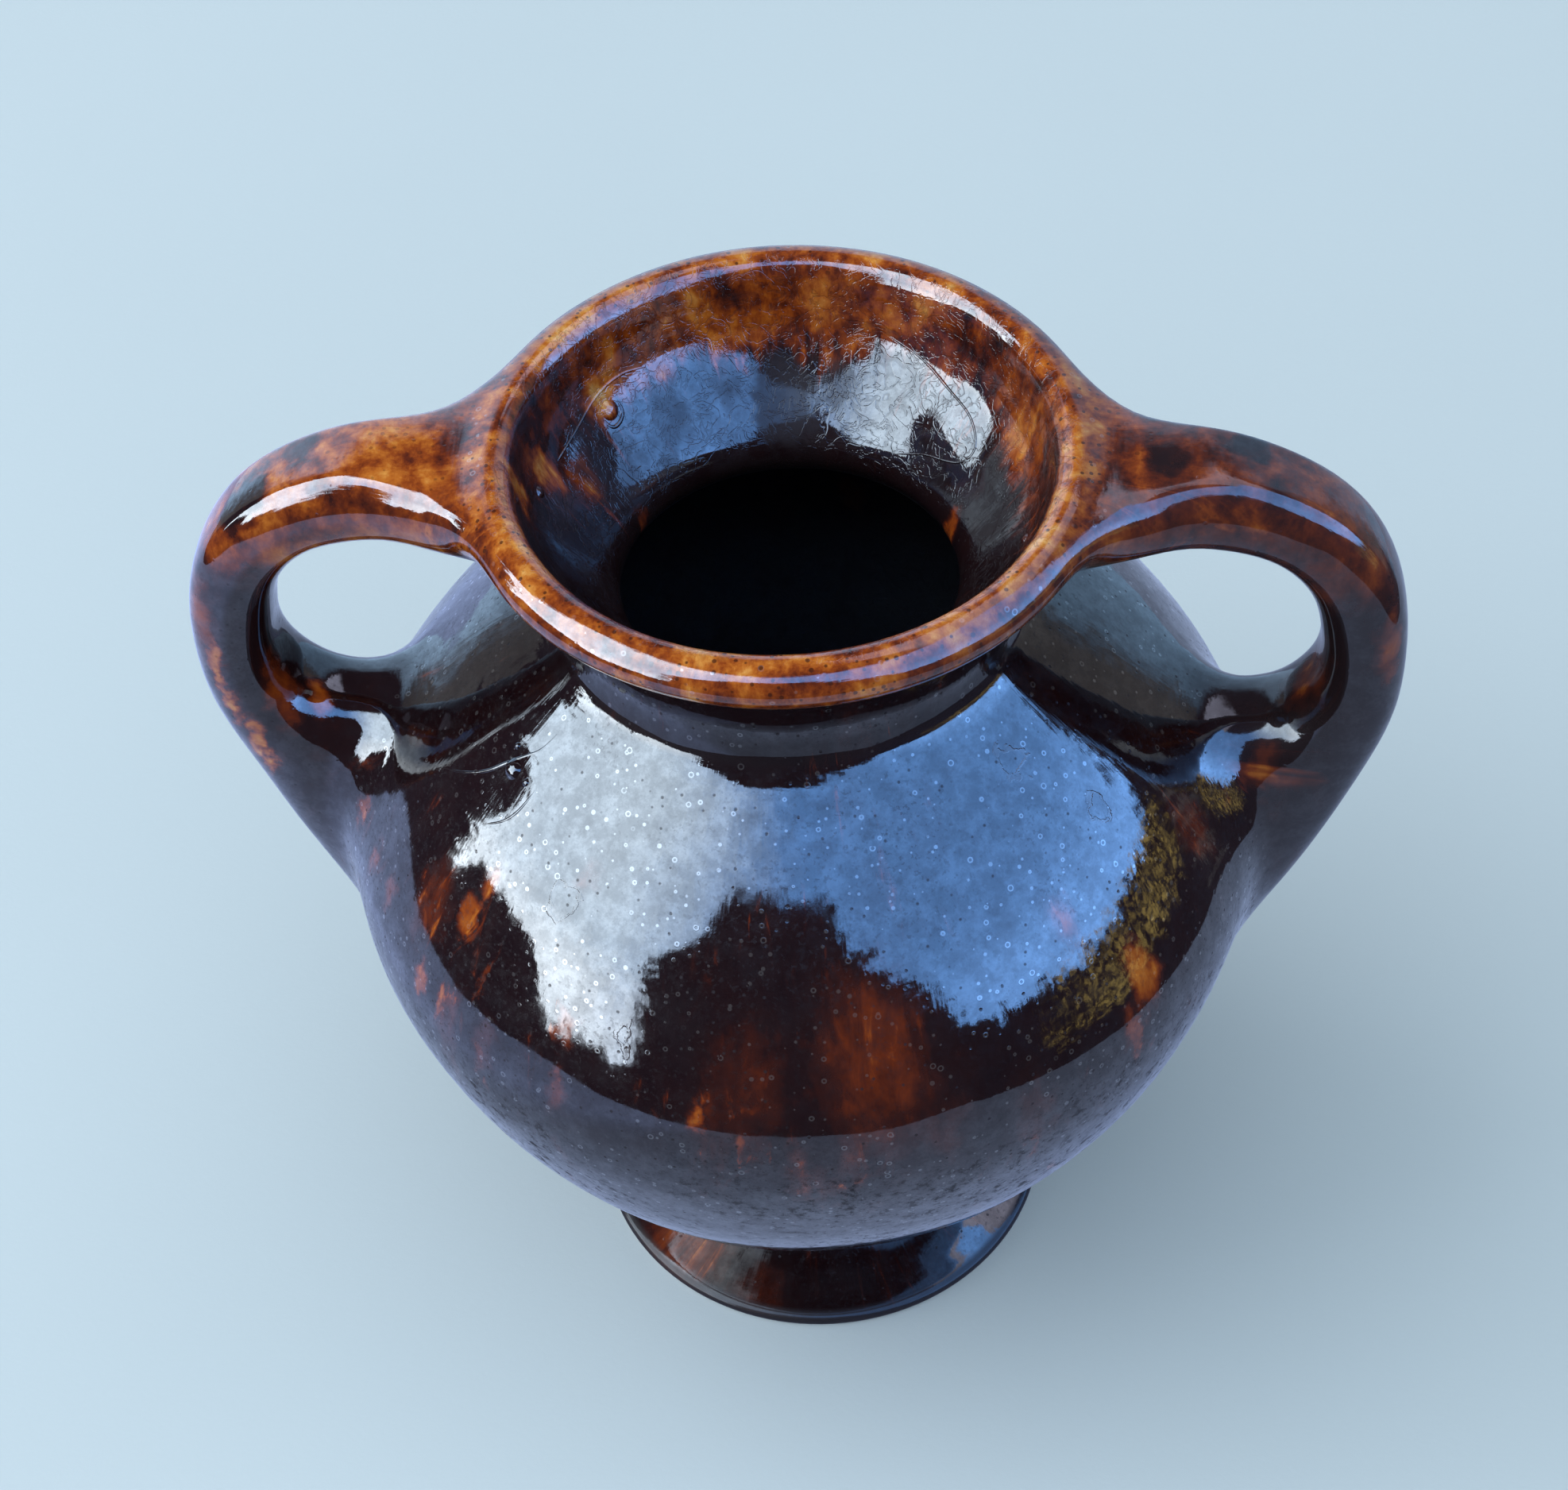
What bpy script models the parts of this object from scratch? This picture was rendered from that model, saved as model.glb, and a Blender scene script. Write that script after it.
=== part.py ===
"""Two-handled ceramic vase: footed, round-bellied, with a flared mouth.

The pot stands on the XY plane with its axis on Z. The handles lie in the
XZ plane, one on each side. Lengths are metres.
"""
import math

import bmesh
import bpy
from mathutils import Matrix, Vector

# overall sizes
TOTAL_HEIGHT = 0.1814
MOUTH_RADIUS = 0.0470
BELLY_RADIUS = 0.0742
BELLY_HEIGHT = 0.0996
FOOT_RADIUS = 0.0410
HANDLE_REACH = 0.0942

# clay thickness
WALL = 0.0040
NECK_WALL = 0.0034
FLOOR_WALL = 0.0050

# foot
FOOT_SEAT_HEIGHT = 0.0190
FOOT_WAIST_RADIUS = 0.0246
FOOT_EDGE_HEIGHT = 0.0024
FOOT_EDGE_ROUND = 0.0007
FOOT_RING_WIDTH = 0.0052
REGISTER_RADIUS = 0.0190
REGISTER_WIDTH = 0.0035
REGISTER_DROP = 0.0030

# body
LOWER_POWER = 1.70
LOWER_DROP = 0.0860
UPPER_POWER = 1.60
UPPER_RISE = 0.0635
BELLY_SEAM_HEIGHT = 0.0660
LAP_HEIGHT = 0.0045

# neck and mouth
SHOULDER_TOP_HEIGHT = 0.1445
NECK_RADIUS = 0.0332
NECK_HEIGHT = 0.1562
NECK_LAP_HEIGHT = 0.0034
LIP_DEPTH = 0.0088
LIP_THICKNESS = 0.0070

# handles
HANDLE_THICKNESS = 0.0134
HANDLE_HALF_WIDTH = 0.0088
HANDLE_TOP_DROP = 0.0018
HANDLE_ROOT_HALF_WIDTH = 0.0185
HANDLE_FOOT_HALF_WIDTH = 0.0110
HANDLE_BEND_HEIGHT = 0.1380
HANDLE_FOOT_HEIGHT = 0.0740
HANDLE_CROTCH_HEIGHT = 0.1215

# fits and mesh fineness
CLEARANCE = 0.0003
TURN_STEPS = 52
HANDLE_SIDES = 18
HANDLE_STEPS = 26


def clear_scene():
    for obj in list(bpy.data.objects):
        bpy.data.objects.remove(obj, do_unlink=True)


def new_collection(name):
    group = bpy.data.collections.new(name)
    bpy.context.scene.collection.children.link(group)
    return group


def glaze(name, colour, roughness):
    material = bpy.data.materials.new(name)
    material.use_nodes = True
    shader = material.node_tree.nodes["Principled BSDF"]
    shader.inputs["Base Color"].default_value = (*colour, 1.0)
    shader.inputs["Roughness"].default_value = roughness
    shader.inputs["Metallic"].default_value = 0.0
    material.diffuse_color = (*colour, 1.0)
    return material


def bezier(start, start_pull, end_pull, end, steps):
    points = []
    for index in range(steps + 1):
        t = index / steps
        a = (1 - t) ** 3
        b = 3 * (1 - t) ** 2 * t
        c = 3 * (1 - t) * t ** 2
        d = t ** 3
        points.append(tuple(
            a * p + b * q + c * r + d * s
            for p, q, r, s in zip(start, start_pull, end_pull, end)
        ))
    return points


def smooth_through(points, steps):
    """Catmull-Rom curve through the points, evenly stepped by span."""
    ends = [points[0]] + list(points) + [points[-1]]
    spans = len(points) - 1
    curve = []
    for index in range(steps + 1):
        place = min(index / steps * spans, spans - 1e-9)
        span = int(place)
        t = place - span
        before, start, end, after = ends[span:span + 4]
        curve.append(tuple(
            0.5 * (2 * q + (r - p) * t + (2 * p - 5 * q + 4 * r - s) * t ** 2
                   + (3 * q - p - 3 * r + s) * t ** 3)
            for p, q, r, s in zip(before, start, end, after)
        ))
    return curve


def lower_radius(height, inset=0.0):
    """Radius of the lower body at a height, on a surface set in by inset."""
    share = (BELLY_HEIGHT - height) / (LOWER_DROP - inset)
    share = min(max(share, 0.0), 1.0)
    return (BELLY_RADIUS - inset) * (1 - share ** LOWER_POWER) ** (1 / LOWER_POWER)


def upper_radius(height, inset=0.0):
    """Radius of the upper body at a height, on a surface set in by inset."""
    share = (height - BELLY_HEIGHT) / (UPPER_RISE - inset)
    share = min(max(share, 0.0), 1.0)
    return (BELLY_RADIUS - inset) * (1 - share ** UPPER_POWER) ** (1 / UPPER_POWER)


def body_radius(height, inset=0.0):
    if height < BELLY_HEIGHT:
        return lower_radius(height, inset)
    return upper_radius(height, inset)


def heights_between(low, high, count):
    return [low + (high - low) * index / count for index in range(count + 1)]


def neck_fillet(steps):
    """Hollow curve from the shoulder up to the narrowest ring of the neck."""
    foot = SHOULDER_TOP_HEIGHT
    step = 0.0004
    slope = (upper_radius(foot + step) - upper_radius(foot - step)) / (2 * step)
    rise = (NECK_HEIGHT - foot) * 0.42
    return bezier(
        (upper_radius(foot), foot),
        (upper_radius(foot) + slope * rise, foot + rise),
        (NECK_RADIUS, NECK_HEIGHT - (NECK_HEIGHT - foot) * 0.38),
        (NECK_RADIUS, NECK_HEIGHT),
        steps,
    )


def inner_fillet(steps):
    """Curve inside the shoulder, from the throat ledge out to the inner wall."""
    bore = NECK_RADIUS - NECK_WALL
    ledge = NECK_HEIGHT - NECK_LAP_HEIGHT
    end = SHOULDER_TOP_HEIGHT - WALL * 1.2
    radius = upper_radius(end, WALL)
    pull = (ledge - end) * 0.42
    return bezier(
        (bore, ledge),
        (bore, ledge - pull * 0.7),
        (radius - pull, end + pull),
        (radius, end),
        steps,
    )


def lip_underside():
    return (MOUTH_RADIUS - LIP_THICKNESS * 0.42, TOTAL_HEIGHT - LIP_DEPTH)


def flare_outside(steps):
    """Trumpet curve from the neck's narrowest ring to the underside of the lip."""
    end = lip_underside()
    rise = end[1] - NECK_HEIGHT
    return bezier(
        (NECK_RADIUS, NECK_HEIGHT),
        (NECK_RADIUS, NECK_HEIGHT + rise * 0.45),
        (end[0] - (end[0] - NECK_RADIUS) * 0.42, end[1] - rise * 0.22),
        end,
        steps,
    )


def lip_roll():
    """Rounded lip from its underside, over the top, to its inner edge."""
    top = TOTAL_HEIGHT
    outer = MOUTH_RADIUS
    inner = MOUTH_RADIUS - LIP_THICKNESS
    under = lip_underside()
    side = bezier(
        under,
        (outer - LIP_THICKNESS * 0.12, under[1] + LIP_DEPTH * 0.06),
        (outer, top - LIP_DEPTH * 0.72),
        (outer, top - LIP_DEPTH * 0.46),
        4,
    )
    crown = bezier(
        (outer, top - LIP_DEPTH * 0.46),
        (outer, top - LIP_DEPTH * 0.14),
        (outer - LIP_THICKNESS * 0.22, top),
        (outer - LIP_THICKNESS * 0.52, top),
        5,
    )
    inside = bezier(
        (outer - LIP_THICKNESS * 0.52, top),
        (outer - LIP_THICKNESS * 0.80, top),
        (inner, top - LIP_DEPTH * 0.16),
        (inner - LIP_THICKNESS * 0.10, top - LIP_DEPTH * 0.42),
        4,
    )
    return side + crown[1:] + inside[1:]


def throat(steps):
    """Inside of the mouth from the lip down to the throat."""
    start = lip_roll()[-1]
    bore = NECK_RADIUS - NECK_WALL
    drop = start[1] - NECK_HEIGHT
    return bezier(
        start,
        (start[0] - (start[0] - bore) * 0.36, start[1] - drop * 0.34),
        (bore, NECK_HEIGHT + drop * 0.34),
        (bore, NECK_HEIGHT),
        steps,
    )


def outer_skin(extra=0.0):
    """Whole outer outline, foot seat to mouth, grown outward by extra."""
    start = FOOT_SEAT_HEIGHT + FLOOR_WALL
    line = [(body_radius(z), z) for z in heights_between(start, BELLY_SEAM_HEIGHT, 5)]
    line += [(body_radius(z), z) for z in shoulder_heights()[1:]]
    line += neck_fillet(7)[1:]
    line += flare_outside(6)[1:]
    line += lip_roll()[1:8]
    if extra == 0.0:
        return line
    grown = []
    for index, (radius, height) in enumerate(line):
        before = line[max(index - 1, 0)]
        after = line[min(index + 1, len(line) - 1)]
        along = Vector((after[0] - before[0], after[1] - before[1])).normalized()
        grown.append((radius + along.y * extra, height - along.x * extra))
    return grown


def shoulder_heights():
    """Heights of the outer rings of the upper body, closer near the belly."""
    return heights_between(BELLY_SEAM_HEIGHT, SHOULDER_TOP_HEIGHT, 11)


def turned(name, profile, closed, group):
    """Solid of revolution about Z from (radius, height) points."""
    mesh = bpy.data.meshes.new(name)
    verts = [(radius, 0.0, height) for radius, height in profile]
    edges = [(index, index + 1) for index in range(len(verts) - 1)]
    if closed:
        edges.append((len(verts) - 1, 0))
    mesh.from_pydata(verts, edges, [])
    obj = bpy.data.objects.new(name, mesh)
    group.objects.link(obj)
    screw = obj.modifiers.new("turn", "SCREW")
    screw.axis = "Z"
    screw.angle = math.tau
    screw.steps = TURN_STEPS
    screw.render_steps = TURN_STEPS
    screw.use_merge_vertices = True
    screw.merge_threshold = 0.00002
    screw.use_normal_calculate = False
    apply_modifiers(obj)
    close_outward(obj)
    return obj


def apply_modifiers(obj):
    bpy.context.view_layer.update()
    graph = bpy.context.evaluated_depsgraph_get()
    mesh = bpy.data.meshes.new_from_object(obj.evaluated_get(graph))
    obj.modifiers.clear()
    obj.data = mesh


def close_outward(obj):
    """Point the faces outward and shade them smooth."""
    bm = bmesh.new()
    bm.from_mesh(obj.data)
    bmesh.ops.remove_doubles(bm, verts=bm.verts, dist=0.00001)
    bmesh.ops.recalc_face_normals(bm, faces=bm.faces)
    if bm.calc_volume(signed=True) < 0:
        bmesh.ops.reverse_faces(bm, faces=bm.faces)
    for face in bm.faces:
        face.smooth = True
    bm.to_mesh(obj.data)
    bm.free()
    obj.data.validate()


def build_foot(group):
    """Flared foot, hollow beneath, bored on top for the register of the bowl."""
    bore = REGISTER_RADIUS + CLEARANCE
    waist = FOOT_WAIST_RADIUS
    edge = FOOT_EDGE_HEIGHT
    outer = [(lower_radius(FOOT_SEAT_HEIGHT), FOOT_SEAT_HEIGHT)]
    outer += bezier(
        (waist, FOOT_SEAT_HEIGHT * 0.84),
        (waist, FOOT_SEAT_HEIGHT * 0.46),
        (FOOT_RADIUS - (FOOT_RADIUS - waist) * 0.46, edge + FOOT_SEAT_HEIGHT * 0.07),
        (FOOT_RADIUS - FOOT_EDGE_ROUND * 1.6, edge + FOOT_EDGE_ROUND),
        8,
    )
    outer += [
        (FOOT_RADIUS - FOOT_EDGE_ROUND * 0.4, edge + FOOT_EDGE_ROUND * 0.3),
        (FOOT_RADIUS, edge - FOOT_EDGE_ROUND * 0.4),
        (FOOT_RADIUS, FOOT_EDGE_ROUND),
        (FOOT_RADIUS - FOOT_EDGE_ROUND, 0.0),
    ]
    ring = FOOT_RADIUS - FOOT_RING_WIDTH
    inner = [(ring, 0.0)]
    inner += bezier(
        (ring - FOOT_EDGE_ROUND, FOOT_EDGE_ROUND),
        (ring - (ring - bore) * 0.46, FOOT_SEAT_HEIGHT * 0.10),
        (bore, FOOT_SEAT_HEIGHT * 0.36),
        (bore, FOOT_SEAT_HEIGHT * 0.66),
        7,
    )
    inner += [(bore, FOOT_SEAT_HEIGHT - CLEARANCE)]
    outer[0] = (waist - FOOT_EDGE_ROUND * 0.3, FOOT_SEAT_HEIGHT - CLEARANCE)
    return turned("foot", outer + inner, True, group)


def build_lower_bowl(group):
    """Lower half of the belly with a closed floor and a turned register below."""
    register = REGISTER_RADIUS
    seat = FOOT_SEAT_HEIGHT
    floor = seat + FLOOR_WALL
    lap = BELLY_SEAM_HEIGHT + LAP_HEIGHT - CLEARANCE
    split = WALL * 0.5
    floor_edge = heights_between(floor + 0.0016, BELLY_SEAM_HEIGHT, 8)
    inner = [(0.0, floor), (lower_radius(floor + 0.0016, WALL) * 0.55, floor)]
    inner += [(lower_radius(z, WALL), z) for z in floor_edge]
    inner += [(lower_radius(lap, WALL), lap)]
    rim = [
        (lower_radius(lap, split) - CLEARANCE * 0.5, lap),
        (lower_radius(BELLY_SEAM_HEIGHT, split) - CLEARANCE * 0.5, BELLY_SEAM_HEIGHT),
    ]
    outer = [(lower_radius(z), z) for z in heights_between(seat + 0.0030, BELLY_SEAM_HEIGHT, 9)]
    outer.reverse()
    base = [
        (FOOT_WAIST_RADIUS - FOOT_EDGE_ROUND * 0.3, seat + FOOT_EDGE_ROUND),
        (FOOT_WAIST_RADIUS - FOOT_EDGE_ROUND * 1.3, seat),
        (register, seat),
        (register, seat - REGISTER_DROP),
        (register - REGISTER_WIDTH, seat - REGISTER_DROP),
        (register - REGISTER_WIDTH - 0.0006, seat),
        (0.0, seat),
    ]
    return turned("lower_bowl", inner + rim + outer + base, False, group)


def build_shoulder(group):
    """Upper belly and neck root, lapped over the bowl and rebated for the mouth."""
    split = WALL * 0.5
    seam = BELLY_SEAM_HEIGHT + CLEARANCE
    lap = BELLY_SEAM_HEIGHT + LAP_HEIGHT
    ledge = NECK_HEIGHT - NECK_LAP_HEIGHT
    rebate = NECK_RADIUS - NECK_WALL * 0.5 + CLEARANCE * 0.5
    outer = [(lower_radius(seam), seam)]
    outer += [(body_radius(z), z) for z in shoulder_heights()[1:]]
    outer += neck_fillet(7)[1:]
    outer.reverse()
    joint = [
        (lower_radius(seam, split) + CLEARANCE * 0.5, seam),
        (lower_radius(lap, split) + CLEARANCE * 0.5, lap),
        (lower_radius(lap, WALL), lap),
    ]
    fillet = inner_fillet(5)
    fillet.reverse()
    inside = [(body_radius(z, WALL), z) for z in heights_between(lap, fillet[0][1], 9)[1:-1]]
    rim = [(rebate, ledge), (rebate, NECK_HEIGHT)]
    return turned("shoulder", outer + joint + inside + fillet + rim, True, group)


def build_mouth(group):
    """Flared mouth with a rounded lip, and a short spigot down into the neck."""
    seam = NECK_HEIGHT + CLEARANCE
    bore = NECK_RADIUS - NECK_WALL
    spigot = NECK_RADIUS - NECK_WALL * 0.5 - CLEARANCE * 0.5
    bottom = NECK_HEIGHT - NECK_LAP_HEIGHT + CLEARANCE
    outside = [(NECK_RADIUS, seam)] + flare_outside(6)[1:] + lip_roll()[1:]
    outside.reverse()
    inside = throat(7)
    inside.reverse()
    joint = [(spigot, seam), (spigot, bottom), (bore, bottom)]
    return turned("mouth", outside + joint + inside[:-1], True, group)


def handle_stations():
    """Outer point, inner point and half width along the handle, top to foot."""
    reach = HANDLE_REACH
    thick = HANDLE_THICKNESS
    lip = MOUTH_RADIUS
    top = TOTAL_HEIGHT - HANDLE_TOP_DROP
    bend = HANDLE_BEND_HEIGHT
    foot = HANDLE_FOOT_HEIGHT
    crotch = HANDLE_CROTCH_HEIGHT
    belly = BELLY_RADIUS
    span = reach - lip
    wide = HANDLE_HALF_WIDTH
    root = HANDLE_ROOT_HALF_WIDTH
    ankle = HANDLE_FOOT_HALF_WIDTH
    fall = crotch - foot
    return [
        (lip - 0.0050, top, lip - 0.0060, top - thick * 1.30, root),
        (lip + span * 0.12, top, lip + span * 0.11, top - thick * 1.16, wide * 1.50),
        (lip + span * 0.30, top - 0.0006, lip + span * 0.28, top - thick * 1.08, wide * 1.20),
        (lip + span * 0.50, top - 0.0030, lip + span * 0.44, top - thick * 1.20, wide * 1.08),
        (lip + span * 0.72, top - thick * 0.66, lip + span * 0.57, top - thick * 1.50, wide),
        (lip + span * 0.90, top - thick * 1.50, lip + span * 0.67, top - thick * 2.02, wide),
        (reach - thick * 0.06, bend + thick * 0.86, reach - thick * 1.06, bend + thick * 0.68, wide),
        (reach, bend - thick * 0.30, reach - thick, bend - thick * 0.16, wide * 1.02),
        (reach - thick * 0.11, crotch + fall * 0.05, reach - thick * 1.10, crotch + fall * 0.19,
         wide * 1.06),
        (reach - thick * 0.38, crotch - fall * 0.20, belly + 0.0008, crotch + fall * 0.09,
         wide * 1.14),
        (reach - thick * 0.68, crotch - fall * 0.42, belly - 0.0062, crotch + fall * 0.07, ankle),
        (reach - thick * 0.92, crotch - fall * 0.63, belly - 0.0130, crotch + fall * 0.03, ankle),
        (reach - thick * 1.20, crotch - fall * 0.84, belly - 0.0150, crotch - fall * 0.36,
         ankle * 0.92),
        (belly - 0.0035, foot - 0.0020, belly - 0.0150, foot + 0.0080, ankle * 0.62),
    ]


def handle_body(name, group):
    """Solid swept along the stations with an oval section."""
    bm = bmesh.new()
    rings = []
    for out_r, out_z, in_r, in_z, half in smooth_through(handle_stations(), HANDLE_STEPS):
        outer = Vector((out_r, 0.0, out_z))
        inner = Vector((in_r, 0.0, in_z))
        middle = (outer + inner) * 0.5
        reach = (outer - inner) * 0.5
        ring = []
        for index in range(HANDLE_SIDES):
            angle = math.tau * index / HANDLE_SIDES
            point = middle + reach * math.cos(angle)
            point = point + Vector((0.0, half * math.sin(angle), 0.0))
            ring.append(bm.verts.new(point))
        rings.append(ring)
    for start, end in zip(rings, rings[1:]):
        for index in range(HANDLE_SIDES):
            other = (index + 1) % HANDLE_SIDES
            bm.faces.new((start[index], start[other], end[other], end[index]))
    bm.faces.new(reversed(rings[0]))
    bm.faces.new(rings[-1])
    bmesh.ops.recalc_face_normals(bm, faces=bm.faces)
    mesh = bpy.data.meshes.new(name)
    bm.to_mesh(mesh)
    bm.free()
    obj = bpy.data.objects.new(name, mesh)
    group.objects.link(obj)
    return obj


def build_handle(name, turn, cutter, group):
    """One handle, turned about Z and coped to the pot's outer surface."""
    obj = handle_body(name, group)
    obj.data.transform(Matrix.Rotation(turn, 4, "Z"))
    cut = obj.modifiers.new("cope", "BOOLEAN")
    cut.operation = "DIFFERENCE"
    cut.solver = "EXACT"
    cut.object = cutter
    apply_modifiers(obj)
    keep_largest(obj)
    close_outward(obj)
    return obj


def keep_largest(obj):
    """Drop any loose chip left by the coping cut."""
    bm = bmesh.new()
    bm.from_mesh(obj.data)
    left = set(bm.verts)
    islands = []
    while left:
        stack = [left.pop()]
        island = set(stack)
        while stack:
            for edge in stack.pop().link_edges:
                for vert in edge.verts:
                    if vert in left:
                        left.remove(vert)
                        island.add(vert)
                        stack.append(vert)
        islands.append(island)
    islands.sort(key=len)
    loose = [vert for island in islands[:-1] for vert in island]
    bmesh.ops.delete(bm, geom=loose, context="VERTS")
    bm.to_mesh(obj.data)
    bm.free()


def build_cutter(group):
    """The pot's outer surface grown by the clearance, used only for cutting."""
    line = outer_skin(CLEARANCE)
    profile = [(0.0, line[-1][1])] + line[::-1] + [(0.0, line[0][1])]
    cutter = turned("coping_cutter", profile, False, group)
    cutter.hide_render = True
    cutter.display_type = "WIRE"
    return cutter


def build():
    clear_scene()
    group = new_collection("two_handled_vase")
    tools = new_collection("cutters")
    cutter = build_cutter(tools)
    dark = glaze("dark_brown_glaze", (0.030, 0.009, 0.005), 0.12)
    red = glaze("red_brown_glaze", (0.055, 0.013, 0.007), 0.14)
    deep = glaze("deep_brown_glaze", (0.022, 0.008, 0.006), 0.12)
    amber = glaze("amber_mottled_glaze", (0.240, 0.070, 0.010), 0.12)
    left = glaze("left_handle_glaze", (0.130, 0.035, 0.008), 0.12)
    right = glaze("right_handle_glaze", (0.120, 0.032, 0.008), 0.12)
    build_foot(group).data.materials.append(red)
    build_lower_bowl(group).data.materials.append(deep)
    build_shoulder(group).data.materials.append(dark)
    build_mouth(group).data.materials.append(amber)
    for name, turn, coat in (
        ("left_handle", math.pi, left),
        ("right_handle", 0.0, right),
    ):
        handle = build_handle(name, turn, cutter, group)
        handle.data.materials.clear()
        handle.data.materials.append(coat)


build()
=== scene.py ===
import math

import bmesh
import bpy
from mathutils import Matrix, Vector, noise


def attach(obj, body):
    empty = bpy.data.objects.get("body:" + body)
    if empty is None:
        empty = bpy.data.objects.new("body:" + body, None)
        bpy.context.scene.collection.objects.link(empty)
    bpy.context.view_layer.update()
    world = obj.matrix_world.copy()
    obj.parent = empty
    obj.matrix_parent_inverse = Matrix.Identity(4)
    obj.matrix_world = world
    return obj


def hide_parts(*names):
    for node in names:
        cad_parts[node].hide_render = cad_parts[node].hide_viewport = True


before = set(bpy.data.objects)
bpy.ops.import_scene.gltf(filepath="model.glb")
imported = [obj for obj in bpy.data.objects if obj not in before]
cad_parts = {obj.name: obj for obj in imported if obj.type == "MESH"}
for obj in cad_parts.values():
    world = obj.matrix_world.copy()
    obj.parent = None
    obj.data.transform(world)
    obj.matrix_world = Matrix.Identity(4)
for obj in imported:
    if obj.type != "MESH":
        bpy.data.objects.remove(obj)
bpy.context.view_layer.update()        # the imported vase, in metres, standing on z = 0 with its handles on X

mm = 0.001


# small helpers for working in edit mode from code

def nothingPicked():
    if bpy.context.object is not None and bpy.context.object.mode != "OBJECT":
        bpy.ops.object.mode_set(mode="OBJECT")
    bpy.ops.object.select_all(action="DESELECT")


def openForEdit(piece):
    nothingPicked()
    piece.select_set(True)
    bpy.context.view_layer.objects.active = piece
    bpy.ops.object.mode_set(mode="EDIT")
    bpy.ops.mesh.select_mode(type="VERT")
    bpy.ops.mesh.select_all(action="DESELECT")


def pickCorners(piece, wanted):
    shape = bmesh.from_edit_mesh(piece.data)
    for corner in shape.verts:
        corner.select_set(wanted(corner))
    shape.select_flush_mode()
    bmesh.update_edit_mesh(piece.data)


def pickFaces(piece, wanted):
    bpy.ops.mesh.select_mode(type="FACE")
    bpy.ops.mesh.select_all(action="DESELECT")
    shape = bmesh.from_edit_mesh(piece.data)
    for face in shape.faces:
        if wanted(face):
            face.select_set(True)
    shape.select_flush_mode()
    bmesh.update_edit_mesh(piece.data)


def pickEdges(piece, wanted):
    bpy.ops.mesh.select_mode(type="EDGE")
    bpy.ops.mesh.select_all(action="DESELECT")
    shape = bmesh.from_edit_mesh(piece.data)
    shape.verts.index_update()
    for edge in shape.edges:
        if wanted(edge):
            edge.select_set(True)
    shape.select_flush_mode()
    bmesh.update_edit_mesh(piece.data)


def clamped(value):
    return min(max(value, 0), 1)


def cagePoints(points, closeAtAxis):
    # corners of a subdivision cage whose smooth curve runs through the given points
    corners = [list(point) for point in points]
    last = len(corners) - 1
    rounds = 80    # plenty for the corners to settle
    for _ in range(rounds):
        moved = []
        for index, point in enumerate(points):
            before = corners[index - 1] if index > 0 else None
            after = corners[index + 1] if index < last else None
            if before is None:
                before = [-after[0], after[1]] if closeAtAxis else corners[index]
            if after is None:
                after = [-before[0], before[1]] if closeAtAxis else corners[index]
            here = corners[index]
            smooth = [(before[k] + 4 * here[k] + after[k]) / 6 for k in (0, 1)]
            moved.append([here[k] + point[k] - smooth[k] for k in (0, 1)])
        if closeAtAxis:
            moved[0][0] = 0.0
            moved[last][0] = 0.0
        corners = moved
    return corners


def turnedPiece(name, profile, sides, weld):
    # a profile of (radius, height) in mm is extruded point by point and spun round Z
    nothingPicked()
    bpy.ops.mesh.primitive_plane_add(size=0.01)
    piece = bpy.context.object
    piece.name = piece.data.name = name
    bpy.ops.object.mode_set(mode="EDIT")
    bpy.ops.mesh.merge(type="CENTER")
    bpy.ops.transform.translate(value=(profile[0][0] * mm, 0, profile[0][1] * mm))
    for here, there in zip(profile, profile[1:]):
        step = ((there[0] - here[0]) * mm, 0, (there[1] - here[1]) * mm)
        bpy.ops.mesh.extrude_region_move(TRANSFORM_OT_translate={"value": step})
    bpy.ops.mesh.select_all(action="SELECT")
    bpy.ops.mesh.spin(steps=sides, angle=math.tau, center=(0, 0, 0), axis=(0, 0, 1))
    bpy.ops.mesh.select_all(action="SELECT")
    bpy.ops.mesh.remove_doubles(threshold=weld * mm)
    bpy.ops.mesh.select_all(action="SELECT")
    bpy.ops.mesh.normals_make_consistent(inside=False)
    bpy.ops.object.mode_set(mode="OBJECT")
    return piece


# the turned pot: its outline in mm as (radius, height), from under the foot, up the outside
# and over the lip to the inside floor

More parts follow.
